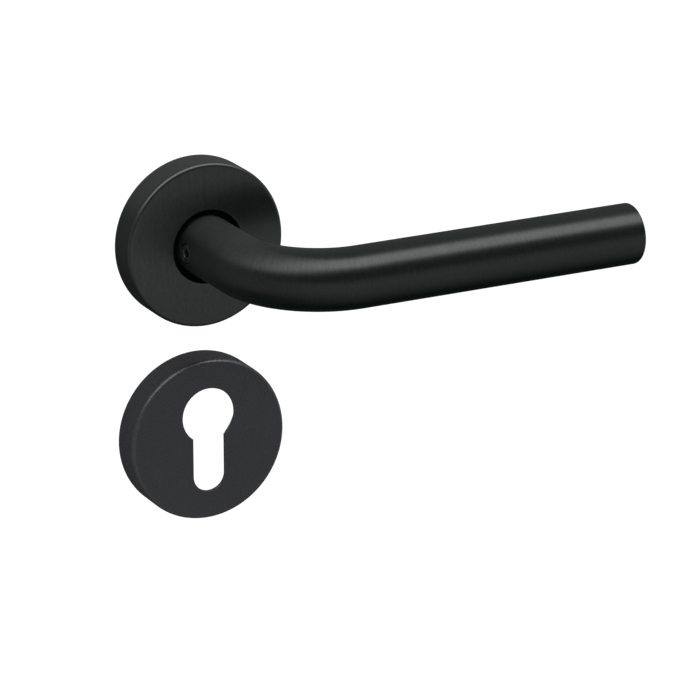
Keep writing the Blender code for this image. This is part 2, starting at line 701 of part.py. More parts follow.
def build():
    for existing in list(bpy.data.objects):
        bpy.data.objects.remove(existing, do_unlink=True)

    door_face = add_joint_empty("door_face", None, (0.0, -SPINDLE_DOOR_DEPTH, 0.0))
    lever_axis = add_joint_empty("lever_axis", door_face, (0.0, 0.0, 0.0))
    rose_cover_axis = add_joint_empty("rose_cover_axis", door_face, (0.0, 0.0, 0.0))
    escutcheon = add_joint_empty("escutcheon_middle", door_face, (0.0, 0.0, ESCUTCHEON_Z))

    build_lever_tube(lever_axis)
    build_end_cap(lever_axis)
    build_neck_insert(lever_axis)
    build_grub_screw(lever_axis)
    build_spindle(lever_axis)
    build_driver_ring(lever_axis)
    build_thrust_washer(lever_axis)
    build_retaining_ring(lever_axis)

    build_rose_cover(rose_cover_axis)
    build_rose_base(door_face)
    build_bearing_bush(door_face)
    build_return_spring(door_face)

    build_escutcheon_cover(escutcheon)
    build_escutcheon_base(escutcheon)


build()
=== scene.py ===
"""Detailed look of the lever handle set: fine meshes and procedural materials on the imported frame.

Metres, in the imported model's frame: +Z up, +Y into the door, the front faces -Y, the grip points to +X.
Outlines and piece sizes are in millimetres. "out" is the distance from the door's face towards the
room (-Y), so what is inside the door has a negative out.
"""

import json
import math

import bmesh
import bpy
from mathutils import Matrix, Vector


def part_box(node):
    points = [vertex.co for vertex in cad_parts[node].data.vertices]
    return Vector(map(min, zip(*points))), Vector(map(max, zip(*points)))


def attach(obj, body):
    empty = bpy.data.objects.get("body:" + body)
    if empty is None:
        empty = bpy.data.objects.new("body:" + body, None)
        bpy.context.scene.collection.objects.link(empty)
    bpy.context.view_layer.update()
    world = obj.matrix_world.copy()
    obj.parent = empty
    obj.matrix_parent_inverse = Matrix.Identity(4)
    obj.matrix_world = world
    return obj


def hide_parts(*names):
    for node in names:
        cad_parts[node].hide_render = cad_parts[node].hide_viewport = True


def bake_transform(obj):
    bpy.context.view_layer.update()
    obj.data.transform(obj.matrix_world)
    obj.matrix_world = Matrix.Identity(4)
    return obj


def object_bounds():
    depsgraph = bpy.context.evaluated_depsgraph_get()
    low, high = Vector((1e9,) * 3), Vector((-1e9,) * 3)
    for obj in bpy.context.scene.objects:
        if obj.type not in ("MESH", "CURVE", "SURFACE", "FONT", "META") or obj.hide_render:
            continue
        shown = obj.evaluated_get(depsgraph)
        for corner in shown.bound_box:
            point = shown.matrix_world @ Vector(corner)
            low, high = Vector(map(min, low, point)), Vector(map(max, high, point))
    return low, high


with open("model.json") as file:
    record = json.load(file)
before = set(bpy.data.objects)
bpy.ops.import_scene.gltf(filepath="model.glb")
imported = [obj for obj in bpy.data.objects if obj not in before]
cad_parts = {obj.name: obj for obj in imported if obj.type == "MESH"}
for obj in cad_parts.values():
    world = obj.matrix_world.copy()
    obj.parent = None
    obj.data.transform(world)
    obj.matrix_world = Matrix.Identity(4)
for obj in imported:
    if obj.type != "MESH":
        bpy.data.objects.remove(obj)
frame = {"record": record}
CAD_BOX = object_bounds()
MM = 0.001
SHARP_ABOVE = math.radians(32)
SMALLEST_EDGE = 1.2e-6  # shorter edges, left by a Boolean, are dissolved
ON_AXIS = 1e-6  # a ring of a smaller radius is a single vertex

RECORD = frame["record"]
BODY_OF = {node: body for body, nodes in RECORD["behaviour"]["bodies"].items() for node in nodes}
SLOT_OF = {row["node"]: row["material_slot"] for row in RECORD["subparts"]}


def middle(node):
    low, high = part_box(node)
    return (low + high) / 2


DOOR_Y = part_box("rose_base_plate")[1].y
ROSE = Vector((middle("rose_cover").x, DOOR_Y, middle("rose_cover").z))
ESCUTCHEON = Vector((middle("escutcheon_cover").x, DOOR_Y, middle("escutcheon_cover").z))
GRIP_END = (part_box("lever_tube")[1].x - ROSE.x) / MM
COVER_HEIGHT = (DOOR_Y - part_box("escutcheon_cover")[0].y) / MM
CROWN = (DOOR_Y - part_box("rose_cover")[0].y) / MM - COVER_HEIGHT


def on_door(node):
    """The point of the door's face that is behind the middle of a node."""
    return Vector((middle(node).x, DOOR_Y, middle(node).z))


# ---------------------------------------------------------------- outlines


def rounded(points, steps=6):
    """A closed outline from (a, b) points; a third number rounds that corner to this radius."""
    outline = []
    for number, point in enumerate(points):
        corner = Vector(point[:2])
        radius = point[2] if len(point) > 2 else 0
        if not radius:
            outline.append(tuple(corner))
            continue
        before = (Vector(points[number - 1][:2]) - corner).normalized()
        after = (Vector(points[(number + 1) % len(points)][:2]) - corner).normalized()
        half = before.angle(after) / 2
        centre = corner + (before + after).normalized() * radius / math.sin(half)
        first = corner + before * radius / math.tan(half) - centre
        last = corner + after * radius / math.tan(half) - centre
        sweep = math.pi - 2 * half
        for step in range(steps + 1):
            share = step / steps
            direction = first * math.sin((1 - share) * sweep) + last * math.sin(share * sweep)
            outline.append(tuple(centre + direction / math.sin(sweep)))
    return outline


def arc(x, z, radius, start, end, steps):
    """Points on an arc, both ends included; angles in degrees."""
    angles = [math.radians(start + (end - start) * step / steps) for step in range(steps + 1)]
    return [(x + radius * math.cos(angle), z + radius * math.sin(angle)) for angle in angles]


def circle(x, z, radius, steps):
    return arc(x, z, radius, 0, 360 - 360 / steps, steps - 1)


def box_outline(left, right, low, high, radius=0):
    return rounded([(left, low, radius), (right, low, radius), (right, high, radius), (left, high, radius)])


def area(loop):
    return sum(a[0] * b[1] - b[0] * a[1] for a, b in zip(loop, loop[1:] + loop[:1])) / 2


SHARPEST_CORNER = 0.4  # keeps an inset's shift at a sharp corner within 2.5 times the distance


def moved_in(loop, distance):
    """The outline with each side moved to its left by distance: inwards, if it runs anticlockwise."""
    shifted = []
    for before, here, after in zip(loop[-1:] + loop[:-1], loop, loop[1:] + loop[:1]):
        here = Vector(here)
        one = (here - Vector(before)).normalized()
        two = (Vector(after) - here).normalized()
        normal = (Vector((-one.y, one.x)) + Vector((-two.y, two.x))).normalized()
        share = max(normal.dot(Vector((-one.y, one.x))), SHARPEST_CORNER)
        shifted.append(tuple(here + normal * distance / share))
    return shifted


# ---------------------------------------------------------------- meshes


def bridge(bm, ring, following):
    """Faces between two rings of vertices; a ring of one vertex is a pole."""
    count = max(len(ring), len(following))
    if count == 1:
        return
    for step in range(count):
        after = (step + 1) % count
        corners = [ring[step % len(ring)], ring[after % len(ring)]]
        corners += [following[after % len(following)], following[step % len(following)]]
        bm.faces.new(list(dict.fromkeys(corners)))


def lathe(profile, segments=96, wave=None):
    """Spin a closed outline of (radius, out) about the Y axis.

    wave(radius, out, angle) is added to the radius.
    """
    bm = bmesh.new()
    rings = []
    for radius, out in profile:
        if radius < ON_AXIS:
            rings.append([bm.verts.new((0.0, -out * MM, 0.0))])
            continue
        ring = []
        for step in range(segments):
            angle = math.tau * step / segments
            reach = (radius + (wave(radius, out, angle) if wave else 0)) * MM
            ring.append(bm.verts.new((reach * math.cos(angle), -out * MM, reach * math.sin(angle))))
        rings.append(ring)
    for ring, following in zip(rings, rings[1:] + rings[:1]):
        bridge(bm, ring, following)
    return bm


def edge_levels(rear, front, rear_edge, front_edge, steps):
    """(inset, out) levels of a wall with rounded edges, from its front to its rear."""
    turns = [math.radians(90 * step / steps) for step in range(steps + 1)]
    falling = [(1 - math.sin(turn), 1 - math.cos(turn)) for turn in turns]
    at_front = [(front_edge * one, front - front_edge * two) for one, two in falling]
    at_rear = [(rear_edge * two, rear + rear_edge * one) for one, two in falling]
    return at_front + at_rear


def slab(loops, rear, front, rear_edge=0.15, front_edge=0.15, steps=3):
    """A plate between out = rear and out = front. loops[0] is its outline, the others are holes in it."""
    return stacked(loops, edge_levels(rear, front, rear_edge, front_edge, steps))


def stacked(loops, levels):
    """A solid whose walls go through (inset, out) levels, from its front to its rear."""
    bm = bmesh.new()
    rims = {0: [], len(levels) - 1: []}
    for number, loop in enumerate(loops):
        anticlockwise = area(loop) > 0
        if anticlockwise != (number == 0):
            loop = loop[::-1]
        rings = []
        for inset, out in levels:
            rings.append([bm.verts.new((x * MM, -out * MM, z * MM)) for x, z in moved_in(loop, inset)])
        for ring, following in zip(rings, rings[1:]):
            bridge(bm, ring, following)
        for level, rim in rims.items():
            ring = rings[level]
            rim += [bm.edges.get(pair) for pair in zip(ring, ring[1:] + ring[:1])]
    for rim in rims.values():
        bmesh.ops.triangle_fill(bm, use_beauty=True, use_dissolve=False, edges=rim)
    bmesh.ops.recalc_face_normals(bm, faces=bm.faces)
    return bm


def tapered(outline, deep_scale, deep, shallow):
    """A plug for a recess: the outline at out = shallow, scaled down at out = deep."""
    bm = bmesh.new()
    rings = []
    for scale, out in ((deep_scale, deep), (1.0, shallow)):
        rings.append([bm.verts.new((x * scale * MM, -out * MM, z * scale * MM)) for x, z in outline])
    bridge(bm, *rings)
    bm.faces.new(rings[0])
    bm.faces.new(rings[1])
    bmesh.ops.recalc_face_normals(bm, faces=bm.faces)
    return bm


def shift(bm, x=0.0, out=0.0, z=0.0):
    bmesh.ops.translate(bm, verts=bm.verts, vec=(x * MM, -out * MM, z * MM))
    return bm


def lie_along_x(bm, sense, x, out):
    """Turn a shape from pointing out of the door to pointing along +X or -X, then move it to (x, out)."""
    turn = Matrix.Rotation(sense * math.pi / 2, 3, "Z")
    bmesh.ops.rotate(bm, verts=bm.verts, cent=(0, 0, 0), matrix=turn)
    return shift(bm, x, out)


def sweep(stations, segments, closed):
    """A skin over (centre, side, up, radius, distance) stations in millimetres, with UVs (distance, turn).

    closed joins the last station to the first.
    """
    bm = bmesh.new()
    uv = bm.loops.layers.uv.new("along")
    rings = []
    for centre, side, up, radius, distance in stations:
        if radius < ON_AXIS:
            rings.append([bm.verts.new(centre * MM)])
            continue
        ring = []
        for step in range(segments):
            angle = math.tau * step / segments
            direction = side * math.cos(angle) + up * math.sin(angle)
            ring.append(bm.verts.new((centre + direction * radius) * MM))
        rings.append(ring)
    pairs = list(zip(range(len(rings)), range(1, len(rings))))
    if closed:
        pairs.append((len(rings) - 1, 0))
    for one, two in pairs:
        first_face = len(bm.faces)
        bridge(bm, rings[one], rings[two])
        bm.faces.ensure_lookup_table()
        for step, face in enumerate(bm.faces[first_face:]):
            for loop in face.loops:
                ring = one if loop.vert in rings[one] else two
                places = rings[ring]
                place = places.index(loop.vert) if len(places) > 1 else step
                turn = place + segments if place < step else place
                loop[uv].uv = (stations[ring][4], turn / segments)
    bmesh.ops.recalc_face_normals(bm, faces=bm.faces)
    return bm


def to_object(bm, name):
    mesh = bpy.data.meshes.new(name)
    bm.to_mesh(mesh)
    bm.free()
    made = bpy.data.objects.new(name, mesh)
    bpy.context.scene.collection.objects.link(made)
    return made


def combined(bm, tool, operation):
    """The Boolean of two shapes, as a new bmesh."""
    for shape in (bm, tool):
        shape.normal_update()
        bmesh.ops.recalc_face_normals(shape, faces=shape.faces)
    one, two = to_object(bm, "one"), to_object(tool, "two")
    modifier = one.modifiers.new("combine", "BOOLEAN")
    modifier.operation = operation
    modifier.solver = "EXACT"
    modifier.object = two
    graph = bpy.context.evaluated_depsgraph_get()
    result = bmesh.new()
    result.from_mesh(one.evaluated_get(graph).to_mesh())
    for used in (one, two):
        mesh = used.data
        bpy.data.objects.remove(used)
        bpy.data.meshes.remove(mesh)
    return result


def cut(bm, tool):
    return combined(bm, tool, "DIFFERENCE")


def join(bm, tool):
    return combined(bm, tool, "UNION")


# ---------------------------------------------------------------- materials


MIX_COLOUR_INPUTS = (0, 6, 7)  # the Mix node's factor and its two colours
MIX_COLOUR_OUTPUT = 2


class Look:
    """A material under construction."""

    def __init__(self, name):
        self.material = bpy.data.materials.new(name)
        self.material.use_nodes = True
        self.tree = self.material.node_tree
        self.shader = self.tree.nodes["Principled BSDF"]
        self.place = self.add("ShaderNodeTexCoord").outputs["Object"]

    def add(self, kind, inputs=None, **settings):
        node = self.tree.nodes.new(kind)
        for key, value in settings.items():
            setattr(node, key, value)
        for key, value in (inputs or {}).items():
            self.put(node.inputs[key], value)
        return node

    def put(self, socket, value):
        """Link a node's output to a socket, or set its own value. A colour may have three numbers."""
        if isinstance(value, bpy.types.NodeSocket):
            self.tree.links.new(value, socket)
        elif socket.type == "RGBA" and len(value) == 3:
            socket.default_value = (*value, 1)
        else:
            socket.default_value = value

    def set(self, **inputs):
        for key, value in inputs.items():
            self.put(self.shader.inputs[key.replace("_", " ")], value)

    def math(self, operation, one, two=0.0):
        return self.add("ShaderNodeMath", {0: one, 1: two}, operation=operation).outputs[0]

    def scaled(self, vector, x, y, z):
        node = self.add("ShaderNodeVectorMath", {0: vector, 1: (x, y, z)}, operation="MULTIPLY")
        return node.outputs[0]

    def sum(self, one, two):
        return self.add("ShaderNodeVectorMath", {0: one, 1: two}, operation="ADD").outputs[0]

    def noise(self, vector, scale=1.0, detail=2.0, roughness=0.5):
        inputs = {"Vector": vector, "Scale": scale, "Detail": detail, "Roughness": roughness}
        return self.add("ShaderNodeTexNoise", inputs).outputs["Fac"]

    def range(self, value, low, high, from_low=0.3, from_high=0.7):
        """The value, remapped to low..high; by default from the span that a noise mostly fills."""
        inputs = {"Value": value, "From Min": from_low, "From Max": from_high}
        inputs.update({"To Min": low, "To Max": high})
        return self.add("ShaderNodeMapRange", inputs).outputs["Result"]

    def mix(self, share, one, two):
        inputs = {"Factor": share, "A": one, "B": two}
        return self.add("ShaderNodeMix", inputs, data_type="FLOAT").outputs[0]

    def colours(self, share, one, two, blend="MIX"):
        """From colour one, at a share of 0, to one blended with two, at a share of 1."""
        node = self.add("ShaderNodeMix", data_type="RGBA", blend_type=blend)
        for socket, value in zip(MIX_COLOUR_INPUTS, (share, one, two)):
            self.put(node.inputs[socket], value)
        return node.outputs[MIX_COLOUR_OUTPUT]

    def parts(self, vector):
        return self.add("ShaderNodeSeparateXYZ", {0: vector}).outputs

    def vector(self, x, y, z):
        return self.add("ShaderNodeCombineXYZ", {0: x, 1: y, 2: z}).outputs[0]

    def length(self, one, two):
        squares = self.math("ADD", self.math("MULTIPLY", one, one), self.math("MULTIPLY", two, two))
        return self.math("SQRT", squares)

    def normal(self):
        return self.add("ShaderNodeNewGeometry").outputs["Normal"]

    def around_wire(self):
        """How far along a swept tube or wire, in millimetres, and the angle around it."""
        along, turn, _ = self.parts(self.add("ShaderNodeUVMap", uv_map="along").outputs[0])
        return along, self.math("MULTIPLY", turn, math.tau)

    def rings(self, pitch):
        """Noise that is constant around the piece's own axis along Y, as left by turning."""
        x, y, z = self.parts(self.place)
        return self.noise(self.vector(self.length(x, z), y, 0.0), 1 / pitch, 3.0, 0.6)

    def bump(self, height, depth, strength=1.0, under=None):
        inputs = {"Height": height, "Distance": depth, "Strength": strength}
        if under:
            inputs["Normal"] = under
        return self.add("ShaderNodeBump", inputs).outputs[0]


COATING_BASE = (0.0006, 0.0030, 0.0024)
COATING_TINT = (0.97, 1.0, 0.99)
COATING_IOR = 1.5
COVER_IOR = 1.56
# Painted light: the neck's base colour is paler, standing in for light on it, and this fades out between two
# distances along the tube, in millimetres
NECK_PAINTED_LIGHT_BASE = (0.0054, 0.0084, 0.0077)
NECK_PAINTED_LIGHT_FADE = (14.0, 44.0)


def lever_coating():
    """Satin black over a brushed tube: the grain runs around the tube, and painted light makes the base
    colour paler near the neck.
    """
    look = Look("satin_black_around_tube")
    along, angle = look.around_wire()
    around = look.vector(0.0, look.math("COSINE", angle), look.math("SINE", angle))
    lengthwise = look.vector(along, 0.0, 0.0)

    def grain_of(fineness, turns):
        """Streaks around the tube: fineness sets their width and turns their number around it."""
        stretched = look.scaled(look.sum(lengthwise, around), fineness, turns, turns)
        return look.noise(stretched, 1.0, 3.0, 0.6)

    grain = look.mix(0.6, grain_of(2.4, 1.0), grain_of(3.2, 9.0))
    cloud = look.noise(look.place, 90.0, 2.0, 0.5)
    rough = look.math("ADD", look.range(grain, -0.03, 0.03), look.range(cloud, 0.34, 0.37))
    # painted light: near the neck the base colour turns paler, standing in for light there
    neck = look.range(along, 1.0, 0.0, *NECK_PAINTED_LIGHT_FADE)
    look.set(
        Base_Color=look.colours(neck, COATING_BASE, NECK_PAINTED_LIGHT_BASE),
        Roughness=rough,
        IOR=COATING_IOR,
        Specular_IOR_Level=look.range(grain, 0.36, 0.64),
        Specular_Tint=COATING_TINT,
        Anisotropic=0.93,
        Tangent=look.add("ShaderNodeTangent", direction_type="UV_MAP", uv_map="along").outputs[0],
        Normal=look.bump(grain, 0.000015, 0.5),
    )
    return look.material


def rose_coating():
    """Satin black over a brushed cover: upright grain on the face, a smoother edge, rings on the side, and a
    base colour lifted with painted light.
    """
    look = Look("satin_black_on_cover")
    outward = look.math("ABSOLUTE", look.parts(look.normal())[1])
    facing = look.math("GREATER_THAN", outward, 0.97)
    side = look.math("LESS_THAN", outward, 0.12)
    flat = look.math("ADD", facing, side)
    short = look.noise(look.scaled(look.place, 1900.0, 300.0, 800.0), 1.0, 2.0, 0.6)
    long = look.noise(look.scaled(look.place, 1500.0, 300.0, 60.0), 1.0, 2.0, 0.5)
    grain = look.mix(facing, look.rings(0.0005), look.mix(0.35, short, long))
    cloud = look.noise(look.place, 90.0, 2.0, 0.5)
    rough = look.math("ADD", look.range(grain, -0.03, 0.03), look.range(cloud, 0.30, 0.33))
    across = look.vector(facing, look.math("SUBTRACT", 1.0, facing), 0.0)
    # Painted light: the base colour is lifted well above the lever's coating, standing in for light the
    # face's reflection lacks; its variation follows the grain.
    shade = look.colours(look.range(grain, 0, 1), (0.0046, 0.0070, 0.0064), (0.0060, 0.0088, 0.0082))
    look.set(
        Base_Color=shade,
        Roughness=look.mix(flat, 0.24, rough),
        IOR=COVER_IOR,
        Specular_IOR_Level=look.range(grain, 0.42, 0.58),
        Specular_Tint=COATING_TINT,
        Anisotropic=look.math("MULTIPLY", flat, 0.97),
        Tangent=across,
        Normal=look.bump(grain, 0.00002, 0.5),
    )
    return look.material


def powder_coating():
    """Fine-textured powder coat: matt and grainy, with a brighter, sparkling rounded edge."""
    look = Look("fine_powder_coat")
    grains = look.noise(look.place, 1900.0, 2.0, 0.6)
    cloud = look.noise(look.place, 60.0, 3.0, 0.55)
    outward = look.math("ABSOLUTE", look.parts(look.normal())[1])
    off_face, off_side = look.range(outward, 1.0, 0.0, 0.85, 0.99), look.range(outward, 0.0, 1.0, 0.1, 0.3)
    edge = look.math("MULTIPLY", off_face, off_side)
    sheen = look.math("ADD", look.range(grains, 0.06, 0.26), look.math("MULTIPLY", edge, 0.35))
    shade = look.colours(look.range(cloud, 0, 1), (0.0270, 0.0276, 0.0302), (0.0296, 0.0308, 0.0334))
    look.set(
        Base_Color=shade,
        Roughness=look.math("ADD", look.range(grains, -0.05, 0.05), look.mix(edge, 0.38, 0.26)),
        IOR=COATING_IOR,
        Specular_IOR_Level=sheen,
        Normal=look.bump(grains, 0.00011, 0.8),
    )
    return look.material


def end_coating():
    """The end cap: the same coating with fine turned rings. Its own axis runs along X."""
    look = Look("satin_black_turned")
    _, y, z = look.parts(look.place)
    rings = look.noise(look.vector(look.length(y, z), 0.0, 0.0), 2200.0, 3.0, 0.6)
    look.set(
        Base_Color=look.colours(look.range(rings, 0, 1), COATING_BASE, (0.0030, 0.0034, 0.0032)),
        Roughness=look.range(rings, 0.27, 0.35),
        IOR=COATING_IOR,
        Specular_Tint=COATING_TINT,
        Normal=look.bump(rings, 0.000016, 0.6),
    )
    return look.material


def zinc():
    """Bright zinc plating: pale, faintly mottled, with a slight blue and yellow cast."""
    look = Look("zinc_plating")
    cloud = look.noise(look.place, 160.0, 3.0, 0.6)
    tone = look.noise(look.place, 45.0, 1.0, 0.5)
    fine = look.noise(look.place, 2200.0, 3.0, 0.65)
    drawn = look.noise(look.scaled(look.place, 90.0, 1800.0, 1500.0), 1.0, 2.0, 0.5)
    shade = look.colours(look.range(tone, 0, 1), (0.58, 0.60, 0.63), (0.66, 0.65, 0.60))
    look.set(
        Base_Color=look.colours(look.range(cloud, 0.0, 0.25), shade, (0.62, 0.62, 0.62), "MULTIPLY"),
        Metallic=0.8,
        Roughness=look.math("ADD", look.range(cloud, 0.26, 0.36), look.range(fine, -0.03, 0.03)),
        Normal=look.bump(fine, 0.00001, 0.5, look.bump(drawn, 0.00001, 0.4)),
    )
    return look.material


def turned_steel():
    look = Look("turned_steel_rings")
    rings = look.rings(0.0003)
    cloud = look.noise(look.place, 220.0, 2.0, 0.5)
    look.set(
        Base_Color=look.colours(look.range(rings, 0, 1), (0.42, 0.41, 0.40), (0.58, 0.57, 0.56)),
        Metallic=1.0,
        Roughness=look.math("ADD", look.range(rings, 0.20, 0.34), look.range(cloud, -0.03, 0.03)),
        Normal=look.bump(rings, 0.000025, 0.6),
    )
    return look.material


def black_oxide_painted_shade():
    """Blackened steel: oily, faintly mottled, with paler rubbed edges; painted shade turns it black and less
    reflective inside its sockets and hollows.
    """
    look = Look("black_oxide_painted_shade")
    cloud = look.noise(look.place, 240.0, 3.0, 0.6)
    fine = look.noise(look.place, 2600.0, 2.0, 0.6)
    edge = look.range(look.add("ShaderNodeNewGeometry").outputs["Pointiness"], 0.0, 0.35, 0.52, 0.60)
    # painted shade: where the AO node finds a recess, the base colour goes to near black and the reflection
    # is dimmed
    open_share_for_painted_shade = look.add("ShaderNodeAmbientOcclusion", {"Distance": 0.002}, samples=8).outputs["AO"]
    open_share_for_painted_shade = look.range(open_share_for_painted_shade, 0.0, 1.0, 0.45, 0.9)
    tone = look.colours(look.range(cloud, 0, 1), (0.046, 0.048, 0.050), (0.060, 0.060, 0.060))
    rubbed = look.colours(edge, tone, (0.16, 0.16, 0.16))
    look.set(
        Base_Color=look.colours(open_share_for_painted_shade, (0.002, 0.002, 0.002), rubbed),
        Metallic=0.8,
        Specular_IOR_Level=look.math("MULTIPLY", open_share_for_painted_shade, 0.5),
        Roughness=look.math("ADD", look.range(cloud, 0.34, 0.44), look.range(fine, -0.04, 0.04)),
        Normal=look.bump(fine, 0.00001, 0.5),
    )
    return look.material


def phosphate_and_painted_shade():
    """Matt black phosphate, for the ring down in the neck's gap, made far darker and less reflective than
    phosphate to paint the gap's shade.
    """
    look = Look("black_phosphate_and_painted_shade")
    cloud = look.noise(look.place, 300.0, 3.0, 0.6)
    look.set(
        # partly painted shade: the near-black base and weak reflection stand in for the shade down in the
        # gap
        Base_Color=look.colours(look.range(cloud, 0, 1), (0.0015, 0.0015, 0.0015), (0.003, 0.003, 0.003)),
        Roughness=look.range(cloud, 0.65, 0.8),
        Specular_IOR_Level=0.05,
        Normal=look.bump(look.noise(look.place, 2600.0, 2.0, 0.6), 0.00002, 0.5),
    )
    return look.material


def spring_wire():
    """Drawn and oiled wire: fine lines run along it."""
    look = Look("drawn_spring_wire")
    along, angle = look.around_wire()
    lines = look.vector(
        look.math("MULTIPLY", along, 0.12),
        look.math("MULTIPLY", look.math("COSINE", angle), 5.0),
        look.math("MULTIPLY", look.math("SINE", angle), 5.0),
    )
    drawn = look.noise(lines, 1.0, 3.0, 0.6)
    oil = look.noise(look.place, 300.0, 2.0, 0.5)
    look.set(
        Base_Color=look.colours(look.range(drawn, 0, 1), (0.24, 0.23, 0.22), (0.42, 0.40, 0.38)),
        Metallic=1.0,
        Roughness=look.math("ADD", look.range(oil, 0.18, 0.34), look.range(drawn, -0.04, 0.04)),
        Normal=look.bump(drawn, 0.00001, 0.5),
    )
    return look.material


def moulded(name, dark, light, roughness, grain):
    """Moulded plastic: fine spark-eroded grain and slight cloudiness."""
    look = Look(name)
    fine = look.noise(look.place, grain, 2.0, 0.6)
    cloud = look.noise(look.place, 110.0, 2.0, 0.5)
    look.set(
        Base_Color=look.colours(look.range(cloud, 0, 1), dark, light),
        Roughness=look.math("ADD", look.range(fine, -0.06, 0.06), roughness),
        Normal=look.bump(fine, 0.00002, 0.5),
    )
    return look.material


LOOKS = {
    "black_satin_coating": lever_coating(),
    "black_powder_coating": powder_coating(),
    "blackened_steel": black_oxide_painted_shade(),
    "zinc_plated_steel": zinc(),
    "turned_steel": turned_steel(),
    "spring_steel": spring_wire(),
    "black_nylon": moulded("black_nylon_grain", (0.010, 0.010, 0.011), (0.016, 0.016, 0.017), 0.55, 3000.0),
    "acetal_plastic": moulded("natural_acetal", (0.74, 0.73, 0.68), (0.82, 0.81, 0.77), 0.42, 2400.0),
}


# ---------------------------------------------------------------- pieces


def piece(node, bm, place, look=None, ride=True):
    """Make the piece that stands for a CAD node, with its own axis through place."""
    bmesh.ops.dissolve_degenerate(bm, dist=SMALLEST_EDGE, edges=bm.edges)
    bm.normal_update()
    bmesh.ops.recalc_face_normals(bm, faces=bm.faces)
    if bm.calc_volume(signed=True) < 0:
        bmesh.ops.reverse_faces(bm, faces=bm.faces)
    made = to_object(bm, f"{node}_look")
    made.data.shade_smooth()
    made.data.set_sharp_from_angle(angle=SHARP_ABOVE)
    made.data.materials.append(look or LOOKS[SLOT_OF[node]])
    made.location = place
    if ride:
        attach(made, BODY_OF[node])
    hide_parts(node)
    return made


# The lever's tube: straight neck, quarter bend, straight grip
TUBE = 9.5  # outer radius
BORE = 8.0  # inner radius
NECK_LENGTHENED = 0.25  # towards the door, past the CAD's neck
NECK_START = (DOOR_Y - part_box("lever_tube")[1].y) / MM - NECK_LENGTHENED
BEND_START = 33.5
BEND = 26.5  # radius of the axis
BEND_STEPS = 60
GRIP_OUT = BEND_START + BEND
GRUB_OUT = (DOOR_Y - middle("grub_screw").y) / MM
GRUB_HOLE = 3.2  # radius
UP = Vector((0, 0, 1))
STRAIGHT = BEND_START - NECK_START  # length of the neck
TURNED = BEND * math.pi / 2  # length of the bend


def tube_frame(distance):
    """The centre and the outer side of the tube's axis, at a distance from the neck's inner end."""
    if distance <= STRAIGHT:
        return Vector((0, -NECK_START - distance, 0)), Vector((-1, 0, 0))
    angle = min((distance - STRAIGHT) / BEND, math.pi / 2)
    side = Vector((-math.cos(angle), -math.sin(angle), 0))
    centre = Vector((BEND, -BEND_START, 0)) + side * BEND
    centre.x += max(distance - STRAIGHT - TURNED, 0)
    return centre, side


def grub_hole(inner):
    """A cutter through the neck's left wall, from inner to beyond the tube."""
    beyond = 12
    hole = lathe([(0, inner), (GRUB_HOLE, inner), (GRUB_HOLE, beyond), (0, beyond)], 64)
    return lie_along_x(hole, -1, 0, GRUB_OUT)


def build_tube():
    """The tube's skin, swept along its axis: outwards on the outside, then back through the bore."""
    length = STRAIGHT + TURNED + GRIP_END - BEND
    neck_end = rounded([(0, BORE), (0, TUBE, 0.3), (length, TUBE)])[:-1]
    grip_end = rounded([(0, TUBE), (length, TUBE, 0.8), (length, BORE, 0.15), (0, BORE)])[1:-1]
    turns = [STRAIGHT + TURNED * step / BEND_STEPS for step in range(BEND_STEPS + 1)]
    outline = neck_end + [(place, TUBE) for place in turns]
    outline += grip_end + [(place, BORE) for place in reversed(turns)]
    stations = []
    for place, radius in outline:
        centre, side = tube_frame(place)
        stations.append((centre, side, UP, radius, place))
    return cut(sweep(stations, 128, closed=True), grub_hole(6))


piece("lever_tube", build_tube(), ROSE)

CAP = 7.7  # radius
CAP_DEPTH = 3.0
cap = lathe(rounded([(0, 0), (CAP, 0, 0.3), (CAP, CAP_DEPTH, 0.3), (0, CAP_DEPTH)]), 96)
cap_centre = ROSE + Vector(((GRIP_END - CAP_DEPTH) * MM, -GRIP_OUT * MM, 0))
piece("lever_end_cap", lie_along_x(cap, 1, 0, 0), cap_centre, end_coating())


# The insert's collar and the driver's hole round it: squares, as half the side and the radius of the
# circle that cuts their corners back
COLLAR = (7.7, 9.1)
DRIVER_HOLE = (8.0, 9.2)
SOCKET = 4.3  # half the side of the insert's square socket
SOCKET_ENTRY = 4.7


def square(half, radius=0.4):
    return box_outline(-half, half, -half, half, radius)


def clipped_square(half, radius):
    """A square cut back to a circle at its corners."""
    reach = math.degrees(math.acos(half / radius))
    outline = []
    for quarter in range(4):
        outline += arc(0, 0, radius, quarter * 90 + reach, quarter * 90 + 90 - reach, 12)
    return outline


def build_insert():
    """Journal with the retaining ring's groove, collar for the driver, stem and square socket."""
    end, front = -3.4, 29.0
    journal, groove, stem, shoulder = 7.5, 6.9, 7.7, 7.9
    outline = [(0, end), (journal, end, 0.5), (journal, -2.55), (groove, -2.55, 0.1)]
    outline += [(groove, -1.25, 0.1), (journal, -1.25), (journal, shoulder), (stem, shoulder)]
    outline += [(stem, front, 0.5), (0, front)]
    body = join(lathe(rounded(outline), 96), slab([clipped_square(*COLLAR)], 7.4, 8.7))
    body = cut(body, slab([square(SOCKET)], -5.0, 27.0, 0, 0.2))
    entry = tapered(square(SOCKET_ENTRY), 4.2 / SOCKET_ENTRY, -2.85, end)
    body = cut(body, shift(entry, out=-0.001))
    return cut(body, grub_hole(3.0))


piece("neck_insert", build_insert(), ROSE)


